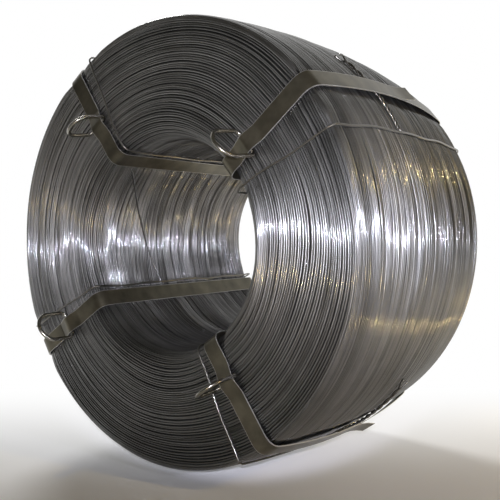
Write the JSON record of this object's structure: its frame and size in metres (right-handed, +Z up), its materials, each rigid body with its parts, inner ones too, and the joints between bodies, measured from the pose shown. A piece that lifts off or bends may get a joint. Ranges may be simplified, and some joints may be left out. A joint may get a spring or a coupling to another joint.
{
  "type": "coil of wire rod",
  "caption": "Coil of bright steel wire lying on its round side, with a through bore, flat steel straps, tie wires and wire rings standing out of one end.",
  "frame": {"origin": "middle of the coil, on the axis of its bore", "axes": "+Y along the coil's axis, away from the end with the rings; +Z up as the coil lies on a floor"},
  "size_m": [0.8299, 0.5811, 0.83],
  "materials": {
    "wire": "bright drawn",
    "strap": "waxed",
    "ring_wire": "bright drawn",
    "tie_wire": "annealed"
  },
  "bodies": {
    "root": {"wire_coil": "wire", "strap_top_right": "strap", "strap_top_left": "strap", "strap_bottom_left": "strap", "strap_bottom_right": "strap", "ring_top_right": "ring_wire", "ring_top_left": "ring_wire", "ring_bottom_left": "ring_wire", "ring_bottom_right": "ring_wire", "tie_top_right": "tie_wire", "tie_top_left": "tie_wire", "tie_bottom_left": "tie_wire", "tie_bottom_right": "tie_wire"}
  },
  "joints": []
}
